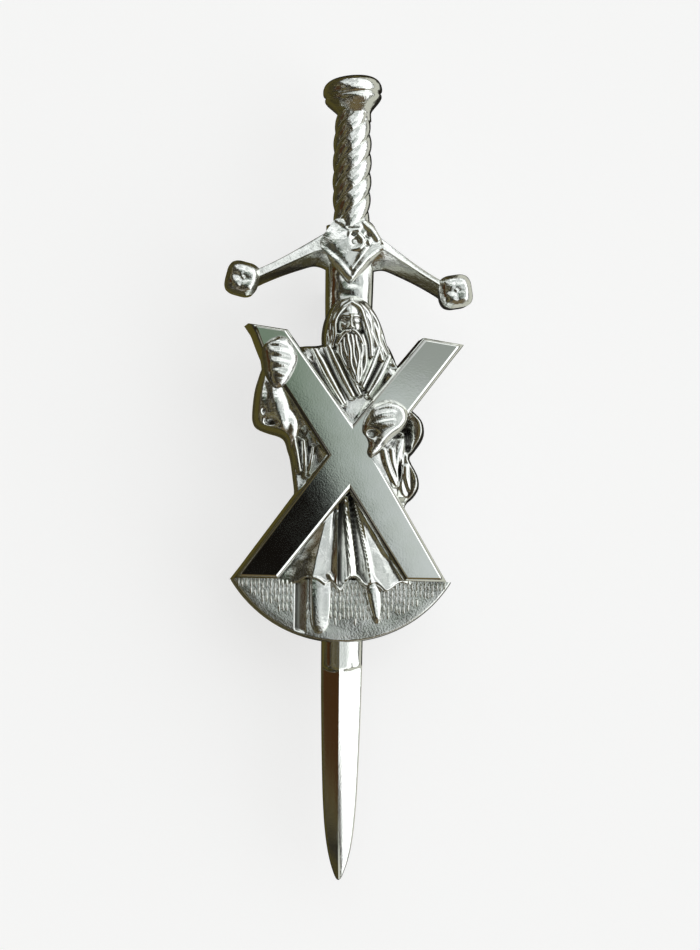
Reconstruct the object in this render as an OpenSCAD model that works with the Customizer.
// A sword-shaped kilt pin, cast in one piece, with a bearded saint who holds a saltire on a grassy mound.
// Millimetres. X runs across the pin, Y along the sword towards the pommel, Z towards the viewer.
// The origin is at the middle of the outline, on the surface that the pin lies on.

/* [Sword] */
// Length from the pommel's top to the blade's tip
pin_length = 90; // [78:1:100]
// Width of the blade below the mound
blade_w = 4.5; // [3.8:0.1:5.4]
// Width of the blade just under the guard
ricasso_w = 5.4; // [4.6:0.1:6.2]
// Thickness of the blade's thin edges
blade_edge = 0.7; // [0.5:0.1:1.1]
// Height of the blade's middle ridge over its flat back
blade_ridge = 2.1; // [1.5:0.1:2.8]
// Length of the blade's leaf-shaped point
tip_l = 8; // [5:0.5:14]

/* [Hilt] */
// Length of the pommel along the sword
pommel_l = 4.4; // [3.4:0.1:5.4]
// Width of the pommel
pommel_w = 6.7; // [5:0.1:8]
// Degrees that the pommel sits askew
pommel_tilt = 6; // [0:1:12]
// Length of the grip
grip_l = 12.6; // [9:0.1:16]
// Width of the grip at its middle
grip_w = 4.4; // [3.2:0.1:5]
// Height of the grip's axis over its flat back
grip_rise = 0.9; // [0.5:0.1:1.4]
// Number of twisted strands round the grip
grip_strands = 4; // [3:1:6]
// Length of one full turn of a strand
grip_pitch = 8.2; // [6:0.2:12]
// Depth of the hollow between two strands
strand_depth = 0.32; // [0.15:0.01:0.45]

/* [Guard] */
// Span of the guard between the middles of its knobs
guard_span = 24; // [20:0.2:28]
// Fall of the arms from the grip to the knobs
guard_fall = 7.1; // [5.6:0.1:8.6]
// Height of the arms' crease over the back
guard_rise = 2.6; // [2:0.1:3.4]
// Degrees that the guard leans, clockwise
guard_lean = 1.9; // [0:0.1:4]
// Width of the face of a knob
knob_w = 3.2; // [2.2:0.1:3.6]
// Height of a knob over the back
knob_rise = 2.9; // [2.3:0.1:3.6]
// Height of the ornament under the grip
langet_h = 6.6; // [5:0.1:8]
// Width of the ornament under the grip
langet_w = 6.2; // [5:0.1:7.4]

/* [Saltire] */
// Height of the saltire from the mound to the middle of its upper ends
saltire_h = 27.4; // [25.5:0.1:30]
// Height of the crossing over the mound
cross_h = 13.7; // [13:0.1:16]
// Width of a bar at its cut end
bar_w = 3.9; // [2.9:0.1:4.2]
// Width of a bar at the crossing
cross_w = 4.5; // [3.3:0.1:4.8]
// Height of the bars over the back
bar_rise = 4.2; // [3.6:0.1:5]
// Width that a bar's sloping wall gains on its way down to the back
bar_draft = 0.2; // [0.2:0.05:0.7]
// Width of the bevel round a bar's face
bar_bevel = 0.35; // [0.2:0.05:0.6]
// Angle of the upper arms from the sword's axis
upper_angle = 36.4; // [34:0.1:38]
// Degrees that the upper arms lean, clockwise
upper_lean = 1.6; // [0:0.1:2]
// Angle of the lower arms from the sword's axis
lower_angle = 34.4; // [31:0.1:36]
// Degrees that the lower arms lean, clockwise
lower_lean = 2.5; // [0:0.1:3]
// Slope of the cut upper ends, in degrees
end_slope = 8; // [0:1:16]

/* [Saint] */
// Height of the saint from the hem to the crown
saint_h = 31.2; // [28:0.1:34]
// Width of the saint over both sleeves
saint_w = 19.1; // [17:0.1:21]
// Depth of the relief over the back
relief = 5; // [4.4:0.1:5.8]
// Distance from the grip's foot down to the crown
crown_drop = 8.6; // [8:0.1:10.5]

/* [Mound] */
// Width of the mound at its top
mound_w = 24.6; // [21:0.1:28]
// Depth of the mound below its top
mound_drop = 6.9; // [5.6:0.1:8]
// Height of the mound over the back
mound_rise = 2.2; // [1.7:0.1:2.7]
// Width of the plain lip round the mound
lip_w = 0.6; // [0.3:0.05:1]
// Height of the lip and the grass over the mound
grass_rise = 0.35; // [0.2:0.05:0.6]
// Distance between tufts of grass
grass_step = 0.8; // [0.7:0.05:1.6]

/* [Brooch pin] */
// Diameter of the stem
stem_d = 1.2; // [0.9:0.1:1.6]
// Free height between the stem and the strip, for the cloth
cloth_gap = 4.4; // [4.2:0.1:6]
// Width of the strip along the back
strip_w = 4.0; // [3.6:0.1:5]
// Thickness of the strip
strip_t = 0.8; // [0.6:0.1:1.2]
// Gap between the strip and the casting's back
seat_gap = 0.05; // [0.02:0.01:0.1]
// Length of the hinge block along the stem
hinge_l = 4.2; // [3:0.1:5.4]
// Length of the catch along the stem
catch_l = 3.2; // [2.4:0.1:4]
// Thickness of the catch's bent plate
catch_t = 0.8; // [0.6:0.1:1]
// Length of the stem past the catch, with its point
point_l = 2.2; // [1.4:0.1:3]

/* [Hidden] */

// Thickness of the layers that hulls are stretched between
skin = 0.01;
// Width that a steep wall gains on its way down to the back, as a mould needs
draft = 0.25;
// How far the stem and the catch sink into what they join
sink = 0.1;

// Levels above the surface that the pin lies on
stem_z = catch_t + stem_d / 2 - sink;
strip_z = stem_z + stem_d / 2 + cloth_gap;
back_z = strip_z + strip_t + seat_gap;

// Sideways shift of the saint from the sword's axis
saint_x = -0.25;

// Places along the sword
pommel_y = pin_length / 2;
grip_top_y = pommel_y - pommel_l;
grip_foot_y = grip_top_y - grip_l;
tip_y = -pin_length / 2;
crown_y = grip_foot_y - crown_drop;
hem_y = crown_y - saint_h;
hem_seam = 0.15;
mound_y = hem_y - hem_seam;
knob_y = grip_foot_y - guard_fall * 0.97;

// Places of the hinge and the catch, behind the neck and behind the mound
hinge_y = crown_y;
catch_y = mound_y - mound_drop / 2 + catch_l / 2;

// Sideways shift of the crossing
cross_x = 0.05;
// Sideways shift of the blade's lower half, and of its ridge on it
blade_x = -0.3;
ridge_x = -0.45;
// Height that the two upper ends differ by, each way
end_stagger = 0.6;
// Width and length of the corner that the upper left end lacks
nick_w = 0.75;
nick_l = 4;

function unit(v) = v / norm(v);

// A solid through rings of points that lie one after another, with flat ends
module loft(rings) {
    n = len(rings[0]);
    last = len(rings) - 1;
    points = [for (ring = rings) for (p = ring) p];
    sides = [
        for (k = [0 : last - 1]) for (i = [0 : n - 1])
            let (a = k * n + i, b = k * n + (i + 1) % n)
                each [[a, b, b + n], [a, b + n, a + n]]
    ];
    first_end = [[for (i = [0 : n - 1]) n - 1 - i]];
    last_end = [[for (i = [0 : n - 1]) last * n + i]];
    polyhedron(points, concat(sides, first_end, last_end), convexity = 6);
}

// The relief's forms are strokes that stand on the flat back. A row holds the crest's place and the half
// width, in hundredths: of the saint's width for x and half width, of the height for y, of the relief for z.
function crest(row) = [saint_x + row[0] * saint_w / 100, hem_y + row[1] * saint_h / 100];
function rise(row) = row[2] * relief / 100;
function half(row) = row[3] * saint_w / 100;

// One arched section across a stroke: c is its place, along its direction, w its half width, z its crest
function arch(c, along, w, z, round) =
    let (
        n = [along[1], -along[0]],
        dome = min(round * w, z * 0.8),
        steps = 4
    )
    concat(
        [[c[0] + n[0] * w, c[1] + n[1] * w, 0]],
        [for (i = [0 : steps])
            let (a = 180 * i / steps, s = w * cos(a))
                [c[0] + n[0] * s, c[1] + n[1] * s, z - dome + dome * sin(a)]],
        [[c[0] - n[0] * w, c[1] - n[1] * w, 0]]
    );

// A stroke through the rows of a table, with rounded ends. round is the arch's height over its half width.
module stroke(rows, round = 1) {
    last = len(rows) - 1;
    way = [for (i = [0 : last])
        unit(crest(rows[min(i + 1, last)]) - crest(rows[max(i - 1, 0)]))];
    reach = 0.8;
    taper = 0.45;
    lower = 0.5;
    function end_cap(i, sign) =
        let (w = half(rows[i]), z = rise(rows[i]))
            arch(crest(rows[i]) + sign * reach * w * way[i], way[i], taper * w,
                z - lower * min(round * w, z * 0.8), round);
    loft(concat(
        [end_cap(0, -1)],
        [for (i = [0 : last]) arch(crest(rows[i]), way[i], half(rows[i]), rise(rows[i]), round)],
        [end_cap(last, 1)]
    ));
}

// A flat field of the relief inside an outline, in the same hundredths, with sloping walls
module field(outline, level) {
    high = level * relief / 100;
    points = [for (row = outline) crest(row)];
    linear_extrude(high) polygon(points);
}

// Blade, from the guard to the point: share of the length, share of the width, share of the ridge's height
module blade() {
    top_y = grip_foot_y;
    low_y = tip_y + tip_l;
    upper = [[0, 0], [0.12, 0], [0.3, 0.4], [0.62, 1], [0.82, 1], [1, 1]];
    narrowing = 0.86;
    point = [[0.3, 0.72, 0.9], [0.6, 0.5, 0.7], [0.82, 0.29, 0.45], [0.94, 0.14, 0.25], [1, 0.03, 0.12]];
    function section(y, w, ridge, edge) =
        let (
            low = min(1, (top_y - y) / (top_y - mound_y)),
            c = blade_x * low,
            r = ridge_x * low * w / blade_w
        )
        [[c - w / 2, y, 0], [c - w / 2, y, edge], [c + r, y, ridge], [c + w / 2, y, edge], [c + w / 2, y, 0]];
    function width_at(row) =
        let (w = ricasso_w + (blade_w - ricasso_w) * row[1])
            row[0] > 0.62 ? w * (1 - (1 - narrowing) * (row[0] - 0.62) / 0.38) : w;
    end_w = blade_w * narrowing;
    loft(concat(
        [for (row = upper) section(top_y + (low_y - top_y) * row[0], width_at(row), blade_ridge, blade_edge)],
        [for (row = point) section(low_y - tip_l * row[0], end_w * row[1] / 0.86, blade_ridge * row[2],
            blade_edge * min(1, row[2] + 0.2))]
    ));
}

// Grip, a bundle of twisted strands that is cut flat at the back
module grip() {
    sides = 20;
    layers = 18;
    waist = [0.84, 0.93, 1, 1, 0.97];
    function girth(t) = lookup(t, [for (i = [0 : 4]) [i / 4, waist[i]]]);
    function hollow(a) = strand_depth * (1 - abs(cos(a / 2)));
    rings = [for (k = [0 : layers])
        let (t = k / layers, y = grip_top_y - t * grip_l, turn = 360 * t * grip_l / grip_pitch)
            [for (i = [0 : sides - 1])
                let (a = 360 * i / sides, r = grip_w / 2 * girth(t) - hollow(grip_strands * (a - turn)))
                    [-r * cos(a), y, grip_rise + r * sin(a)]]
    ];
    intersection() {
        loft(rings);
        translate([-grip_w, grip_foot_y - 1, 0]) cube([2 * grip_w, grip_l + 2, 2 * grip_w]);
    }
}

// Pommel, a thick wheel with a grooved rim that runs down into a neck.
// A row holds a share of the length and a share of the half width.
module pommel() {
    profile = [
        [0, 0], [0.02, 0.46], [0.1, 0.78], [0.2, 0.93], [0.34, 1], [0.48, 0.98],
        [0.53, 0.9], [0.6, 0.93], [0.74, 0.86], [0.88, 0.68], [1, 0.54]
    ];
    lift = 0.2;
    r = pommel_w / 2;
    neck_l = 1;
    neck_end = pommel_l + neck_l;
    intersection() {
        translate([0, grip_top_y + pommel_l / 2, r * lift])
            rotate([0, 0, pommel_tilt])
                translate([0, pommel_l / 2, 0])
                    rotate([90, 0, 0])
                        rotate_extrude($fn = 24)
                            polygon(concat(
                                [for (row = profile) [row[1] * r, row[0] * pommel_l]],
                                [[profile[len(profile) - 1][1] * r, neck_end], [0, neck_end]]
                            ));
        translate([-pommel_w, grip_foot_y, 0]) cube([2 * pommel_w, 3 * pommel_l + grip_l, pommel_w]);
    }
}

// One arm of the guard: share of the half span, upper edge, crease and lower edge as shares of the fall
module guard_arm() {
    table = [
        [0, 0.06, 0.3, 0.84, 1],
        [0.12, 0.04, 0.28, 0.8, 1],
        [0.22, 0.12, 0.3, 0.7, 1],
        [0.32, 0.25, 0.42, 0.71, 0.96],
        [0.46, 0.41, 0.56, 0.77, 0.9],
        [0.64, 0.6, 0.72, 0.88, 0.86],
        [0.82, 0.78, 0.88, 1.05, 0.84],
        [1, 0.9, 1, 1.16, 0.84]
    ];
    // Levels of the upper edge and of the lower edge, as shares of the crease's level
    upper_edge = 0.72;
    lower_edge = 0.25;
    loft([for (row = table)
        let (
            x = row[0] * guard_span / 2,
            top = grip_foot_y - row[1] * guard_fall,
            mid = grip_foot_y - row[2] * guard_fall,
            low = grip_foot_y - row[3] * guard_fall,
            z = guard_rise * row[4]
        )
        [[x, low, 0], [x, low, z * lower_edge], [x, mid, z], [x, top, z * upper_edge], [x, top, 0]]
    ]);
}

// Knob at the end of an arm, a rounded block with a flower of four petals and a round heart
module knob() {
    corner = knob_w * 0.32;
    petal = knob_w * 0.24;
    block = knob_rise - petal * 0.6;
    hull() {
        linear_extrude(skin) offset(r = corner + draft, $fn = 12) square(knob_w - 2 * corner, center = true);
        translate([0, 0, block]) linear_extrude(skin) offset(r = corner, $fn = 12)
            square(knob_w - 2 * corner, center = true);
    }
    for (a = [0 : 90 : 270]) {
        rotate([0, 0, a]) translate([petal, petal, block]) scale([1, 1, 0.6]) sphere(petal, $fn = 8);
    }
    translate([0, 0, block]) sphere(petal * 0.65, $fn = 8);
}

// Ornament under the grip: a pointed shield with a raised border and a small knot
module langet() {
    level = guard_rise;
    border = 0.5;
    raised = 0.35;
    bulge = 0.4;
    h = langet_h;
    w = langet_w;
    half_shape = [[0.3, 0], [0.42, -0.22], [0.5, -0.42], [0.26, -0.68], [0.04, -1]];
    last = len(half_shape) - 1;
    shape = concat(
        [for (p = half_shape) [p[0] * w, p[1] * h]],
        [for (i = [0 : last]) [-half_shape[last - i][0] * w, half_shape[last - i][1] * h]]
    );
    translate([0, grip_foot_y, 0]) {
        linear_extrude(level) polygon(shape);
        linear_extrude(level + raised) difference() {
            polygon(shape);
            offset(delta = -border) polygon(shape);
        }
        for (a = [30 : 120 : 270]) {
            translate([0, -0.34 * h, 0]) rotate([0, 0, a]) hull() {
                translate([0.07 * w, 0, level]) sphere(bulge, $fn = 8);
                translate([0.17 * w, 0, level]) sphere(bulge * 0.7, $fn = 8);
            }
        }
    }
}

module guard() {
    translate([0, grip_foot_y, 0]) rotate([0, 0, -guard_lean]) translate([0, -grip_foot_y, 0]) {
        guard_arm();
        mirror([1, 0, 0]) guard_arm();
        for (side = [-1, 1]) {
            translate([side * guard_span / 2, knob_y, 0]) rotate([0, 0, side * 12]) knob();
        }
        langet();
    }
}

// One arm of the saltire, from past the crossing to its cut end
module arm(turn, reach, slope, nick = 0) {
    along = [sin(turn), cos(turn)];
    across = [cos(turn), -sin(turn)];
    centre = [cross_x, mound_y + cross_h];
    end_lean = tan(slope + turn);
    function corner(out, wide, lean) = centre + along * out + wide * (across + along * lean);
    module face(grow) {
        end_out = reach + min(grow, 0);
        root_w = cross_w / 2 + grow;
        end_w = bar_w / 2 + grow;
        polygon([
            corner(-cross_w / 3, -root_w, 0), corner(end_out - nick_l, -end_w, end_lean),
            corner(end_out, nick - end_w, end_lean), corner(end_out, end_w, end_lean),
            corner(-cross_w / 3, root_w, 0)
        ]);
    }
    hull() {
        linear_extrude(skin) face(bar_draft);
        translate([0, 0, bar_rise - bar_bevel]) linear_extrude(skin) face(0);
        translate([0, 0, bar_rise - skin]) linear_extrude(skin) face(-bar_bevel);
    }
}

module saltire() {
    upper_h = saltire_h - cross_h;
    left_up = upper_lean - upper_angle;
    right_up = upper_lean + upper_angle;
    left_low = 180 + lower_lean + lower_angle;
    right_low = 180 + lower_lean - lower_angle;
    arm(left_up, (upper_h + end_stagger) / cos(left_up), -end_slope, nick_w);
    arm(right_up, (upper_h - end_stagger) / cos(right_up), -end_slope);
    arm(left_low, -cross_h / cos(left_low), 0);
    arm(right_low, -cross_h / cos(right_low), 0);
}

// Mound, a slice of a disc with a plain lip round its lower edge, set with tufts of grass
module mound() {
    r = (mound_w * mound_w / 4 + mound_drop * mound_drop) / (2 * mound_drop);
    shift = -0.6;
    module slice(inset) {
        intersection() {
            translate([shift, mound_y - mound_drop + r]) circle(r - inset, $fn = 72);
            translate([-mound_w, mound_y - mound_drop - 1]) square([2 * mound_w, mound_drop + 1]);
        }
    }
    hull() {
        linear_extrude(skin) slice(0);
        translate([0, 0, mound_rise]) linear_extrude(skin) slice(draft);
    }
    linear_extrude(mound_rise + grass_rise) difference() {
        slice(draft + 0.1);
        slice(draft + 0.1 + lip_w);
    }
    rows = 5;
    for (k = [0 : rows - 1]) {
        y = mound_y - (0.13 + 0.165 * k) * mound_drop;
        reach = sqrt(pow(r - draft - 2 * lip_w, 2) - pow(y - (mound_y - mound_drop + r), 2));
        count = floor(reach / grass_step);
        for (i = [-count : count]) {
            x = shift + (i + 0.5 * (k % 2)) * grass_step;
            if (abs(x - shift) < reach) {
                tuft(x, y + 0.04 * mound_drop * sin(137 * i + 60 * k));
            }
        }
    }
}

// One tuft of grass, a short upright ridge
module tuft(x, y) {
    length = mound_drop * 0.17;
    wide = 0.2;
    hull() {
        translate([x - wide, y - length / 2, mound_rise - skin]) cube([2 * wide, length, skin]);
        translate([x, y - length / 4, mound_rise + 1.4 * grass_rise - skin]) cube([skin, length / 3, skin]);
    }
}

// Robe of the saint: its outline, the broad swell of the body and the sleeves
module robe() {
    outline = [
        [-13, 86], [-16, 83.6], [-28.5, 82.8], [-40, 80], [-48.5, 76.3], [-52, 71], [-54, 66], [-55, 59],
        [-54.5, 55.5], [-52, 53.3], [-46, 51.8], [-39, 50.6], [-35.8, 49], [-34, 45.6], [-32.4, 42.5],
        [-30.6, 35.5], [-29.8, 29.5], [-33, 22], [-42, 6], [-42, -2.4], [-28, -2.6], [-21, -1.2],
        [-14, -2.6], [-8, -1.2], [-2, -2.4], [4, -1.2], [10, -2.6], [17, -1.2], [24, -2.4], [33, -1.4],
        [42, -2.4], [42, 10], [35, 22], [35, 26.6], [39.5, 29.4], [42.8, 33], [42, 37.6], [37.2, 43.2],
        [39.5, 45.6], [44, 49.6], [45.6, 53.2], [44, 57.4], [38.5, 60.8], [34, 62], [33, 69], [29, 76],
        [28.3, 79.4], [24, 84], [14, 88]
    ];
    field(outline, 44);
    // Body and skirt
    stroke([[0, 82, 60, 15], [1, 72, 64, 20], [0, 58, 62, 22], [-3, 42, 54, 22], [-1, 25, 54, 20],
        [3, 5, 54, 23]], 0.22);
    // Shoulders
    stroke([[-6, 82, 66, 6], [-17, 79.5, 64, 6], [-29, 77, 62, 5]], 0.7);
    stroke([[8, 82, 66, 6], [17, 79, 64, 6], [24, 74, 60, 5]], 0.7);
    // Sleeve of the arm on the left, with the fall of cloth behind it
    stroke([[-42, 77.5, 58, 5], [-45.5, 70, 66, 7], [-46.5, 62, 68, 7.6], [-45.5, 57, 60, 7]], 0.7);
    stroke([[-33, 64, 58, 4.6], [-31, 57.5, 66, 5.8], [-33.5, 52.5, 58, 4.6]], 0.8);
    // Cuff and drape of the arm on the right
    stroke([[32, 60.4, 74, 2.8], [38.5, 59, 78, 3], [41.6, 54.4, 78, 3], [40.4, 49, 72, 2.8],
        [36, 45.4, 64, 2.4]], 0.9);
    stroke([[28, 55.4, 98, 2.2], [21, 51.4, 96, 2.2], [13.6, 46.4, 92, 1.8]], 1);
    stroke([[25.4, 51.5, 90, 3], [19.6, 45.6, 92, 3.4], [21.6, 39, 86, 3], [26, 32.6, 72, 2.4]], 0.7);
    stroke([[30, 50, 80, 2.2], [26.6, 43.4, 80, 2.6], [28.8, 36.4, 72, 2.4], [30.6, 31, 60, 2]], 0.8);
    stroke([[34, 45, 66, 2.4], [35.6, 39.4, 64, 3.2], [38, 34.4, 58, 3.4], [36, 29.6, 50, 2.4]], 0.8);
}

// Folds of the robe: the collar's bands, the pleats at the side and the skirt
module folds() {
    bands = [
        [[-14.4, 82.4, 74, 1.5], [-9.4, 78.2, 76, 1.7], [-5, 72.6, 76, 1.7], [1.4, 65.4, 72, 1.5]],
        [[-9, 80, 76, 1.2], [-3, 74.8, 78, 1.4], [3.2, 69.2, 76, 1.4], [8, 65.2, 72, 1.2]],
        [[-21.6, 80.8, 72, 1.4], [-15.8, 76.2, 74, 1.8], [-9.6, 69.8, 73, 1.8], [-3.6, 63.6, 70, 1.4]],
        [[17, 81.6, 76, 1.6], [13, 75.6, 76, 1.7], [9.2, 68.4, 73, 1.4]],
        [[22.6, 78.4, 72, 1.6], [18.2, 72.8, 73, 1.8], [11.8, 66, 70, 1.4]]
    ];
    pleats = [
        [[-32, 48.6, 52, 1.4], [-29.8, 44.6, 54, 1.5], [-27.6, 40, 50, 1.2]],
        [[-26.4, 48, 54, 1.4], [-25.4, 43, 55, 1.5], [-24.6, 38, 50, 1.2]],
        [[-19, 46.4, 56, 1.3], [-20.6, 42.6, 56, 1.4], [-22.6, 38, 50, 1.1]]
    ];
    skirt = [
        [[-5.2, 29, 62, 1.8], [-4.6, 16, 63, 2.1], [-3.6, 2.4, 60, 2.2]],
        [[0.8, 29.6, 62, 1.6], [2.2, 16, 63, 1.9], [3.8, 2.4, 60, 2]],
        [[5, 24, 60, 1.5], [9.4, 12, 62, 2], [14, 2, 59, 2.4]],
        [[-10.6, 22, 58, 2.6], [-13.4, 12, 62, 4], [-14.6, 2.2, 60, 4.2]],
        [[14.4, 17, 56, 1.8], [19, 9, 60, 2.6], [22.6, 2, 58, 3]],
        [[-21, 9, 52, 1.6], [-23.4, 1.6, 52, 1.8]]
    ];
    for (rows = bands) {
        stroke(rows, 0.9);
    }
    for (rows = pleats) {
        stroke(rows, 0.9);
    }
    for (rows = skirt) {
        stroke(rows, 0.6);
    }
}

// Hands that hold the bars: each finger is a short stroke over the bar's edge
module hands() {
    left_fingers = [
        [[-41.4, 81.4, 92, 1.9], [-35.8, 82.8, 100, 2]],
        [[-41.6, 79, 93, 1.9], [-34.8, 80.2, 101, 2.1]],
        [[-41.8, 76.6, 92, 1.9], [-35, 77.6, 100, 2.1]],
        [[-41.8, 74.4, 88, 1.7], [-36.4, 75, 96, 1.9]]
    ];
    right_fingers = [
        [[21, 60.4, 98, 1.7], [15, 60, 101, 1.7], [11, 57.6, 96, 1.5]],
        [[21, 58.4, 99, 1.8], [14.4, 57.6, 102, 1.8], [10.4, 55.2, 96, 1.5]],
        [[21.6, 56, 98, 1.7], [15, 55, 101, 1.7], [11, 52.8, 95, 1.5]]
    ];
    for (rows = left_fingers) {
        stroke(rows, 0.9);
    }
    stroke([[-39.6, 72.4, 78, 2.4], [-40.6, 76.6, 84, 3], [-40, 80.4, 84, 2.6]], 0.7);
    for (rows = right_fingers) {
        stroke(rows, 0.9);
    }
    stroke([[31, 57.4, 84, 4], [24.6, 57.8, 98, 4.6], [20.4, 58.2, 99, 3.8]], 0.6);
}

// Head with a calm, plain face: brow, eyes, nose and cheeks on an oval
module head() {
    centre_y = 91.6;
    half_w = 8.6;
    half_h = 8.4;
    level = 93;
    low = crest([0, centre_y]);
    deep = 0.42 * relief;
    translate([low[0], low[1], rise([0, 0, level]) - deep])
        scale([half_w * saint_w / 100, half_h * saint_h / 100, deep])
            sphere(1, $fn = 18);
    stroke([[-5.4, 92.6, 91, 1], [-3, 93.6, 95, 1.1], [0, 93.2, 96, 1], [3, 93.6, 95, 1.1],
        [5.4, 92.6, 91, 1]], 0.8);
    stroke([[0, 93.4, 96, 1], [0, 90.6, 99, 1.2], [0, 89, 102, 1.9]], 0.9);
    for (side = [-1, 1]) {
        stroke([[side * 4.6, 91.8, 93, 1], [side * 2.6, 91.8, 94, 1]], 0.7);
        stroke([[side * 4.8, 89.8, 92, 1.8], [side * 3.2, 88.4, 94, 1.8]], 0.5);
    }
}

// Hair and beard in long wavy locks
module hair() {
    mass = [
        [-14.6, 83], [-14.4, 88], [-12.6, 93.5], [-9, 98], [-3, 100.6], [4, 101], [10.6, 98.6], [16, 94],
        [19.6, 89], [21.6, 84], [25, 79], [28.2, 76], [20, 76], [10, 72], [4.6, 69.4], [-2, 74], [-7, 80]
    ];
    field(mass, 62);
    locks = [
        [[1, 99.4, 76, 2.4], [9.4, 97, 74, 2.8], [15.6, 91.6, 71, 3], [19, 85, 69, 3], [22.4, 79.8, 67, 2.6],
            [26, 75.6, 64, 1.8]],
        [[1, 99, 84, 2.2], [7.4, 96, 84, 2.5], [11.8, 90.6, 80, 2.7], [14.6, 84, 77, 2.6], [19.4, 78, 72, 2]],
        [[0.6, 98.4, 90, 1.8], [5.6, 95.8, 90, 2], [8.6, 90.4, 87, 2.2], [10.8, 84, 83, 2.2],
            [14, 78, 77, 1.8]],
        [[0.4, 99.2, 84, 2.2], [-6.4, 97, 81, 2.4], [-10.6, 92.6, 76, 2.4], [-12.2, 87.6, 72, 2.2],
            [-13.2, 83.6, 69, 1.6]],
        [[0.2, 98.6, 90, 1.8], [-5.2, 95.8, 88, 2], [-8.4, 91.4, 84, 2], [-9.4, 86.6, 79, 1.8],
            [-10.6, 82.4, 75, 1.4]]
    ];
    beard = [
        [[-6.6, 86.4, 86, 1.7], [-5.6, 81, 88, 1.9], [-2, 75.6, 86, 1.7], [2.2, 71, 80, 1.2]],
        [[-3.4, 85.4, 92, 1.6], [-2, 79.8, 94, 1.7], [0.6, 74.8, 91, 1.5], [3.2, 70, 84, 1.1]],
        [[0.4, 84.8, 94, 1.7], [1.6, 79.4, 98, 1.9], [2.8, 74, 94, 1.6], [4, 69.6, 86, 1.1]],
        [[4, 85.2, 92, 1.6], [5.4, 80.2, 94, 1.7], [5.4, 75.4, 90, 1.5], [4.8, 70.8, 84, 1.1]],
        [[7, 87, 87, 1.7], [9, 82, 88, 1.9], [8.2, 76.8, 85, 1.7], [6, 71.6, 79, 1.2]]
    ];
    moustache = [
        [[-0.4, 87.6, 97, 1.1], [-3.8, 86.6, 95, 1.4], [-6.6, 84, 91, 1]],
        [[0.4, 87.6, 97, 1.1], [4, 86.6, 95, 1.4], [7, 84, 91, 1]]
    ];
    for (rows = locks) {
        stroke(rows, 0.9);
    }
    for (rows = beard) {
        stroke(rows, 1);
    }
    for (rows = moustache) {
        stroke(rows, 0.9);
    }
}

// Feet, below the hem and over the grass
module feet() {
    stroke([[-16.2, 1, 52, 4], [-16.6, -7, 57, 4.4], [-15.8, -13.6, 58, 3.9], [-14.8, -17.4, 53, 2.6]], 0.7);
    stroke([[15.6, 1, 52, 3.6], [16.2, -5.6, 57, 4], [17.8, -10.6, 57, 3.5], [19.6, -13.6, 52, 2.4]], 0.7);
}

// The whole front, cast in one piece with a flat back
module casting() {
    color([0.72, 0.75, 0.73]) translate([0, 0, back_z]) {
        blade();
        grip();
        pommel();
        guard();
        saltire();
        mound();
        robe();
        folds();
        hands();
        hair();
        head();
        feet();
    }
}

// Brooch pin on the back: strip, hinge block, stem with its point, and bent catch
module brooch_pin() {
    strip_top = hinge_y + hinge_l / 2;
    strip_low = catch_y - catch_l / 2;
    catch_w = strip_w;
    lip_h = stem_z + stem_d / 2;
    stem_l = hinge_y - strip_low;
    color([0.62, 0.62, 0.6]) {
        translate([-strip_w / 2, strip_low, strip_z]) cube([strip_w, strip_top - strip_low, strip_t]);
        translate([-strip_w / 2, hinge_y - hinge_l / 2, 0]) cube([strip_w, hinge_l, strip_z + sink]);
        translate([0, hinge_y, stem_z]) rotate([90, 0, 0]) cylinder(h = stem_l, d = stem_d, $fn = 32);
        translate([0, strip_low + skin, stem_z]) rotate([90, 0, 0])
            cylinder(h = point_l, d1 = stem_d, d2 = stem_d / 6, $fn = 32);
        translate([-catch_w / 2, strip_low, 0]) cube([catch_w, catch_l, catch_t]);
        translate([-catch_w / 2, strip_low, 0]) cube([catch_t, catch_l, strip_z + sink]);
        translate([catch_w / 2 - catch_t, strip_low, 0]) cube([catch_t, catch_l, lip_h]);
    }
}

casting();
brooch_pin();
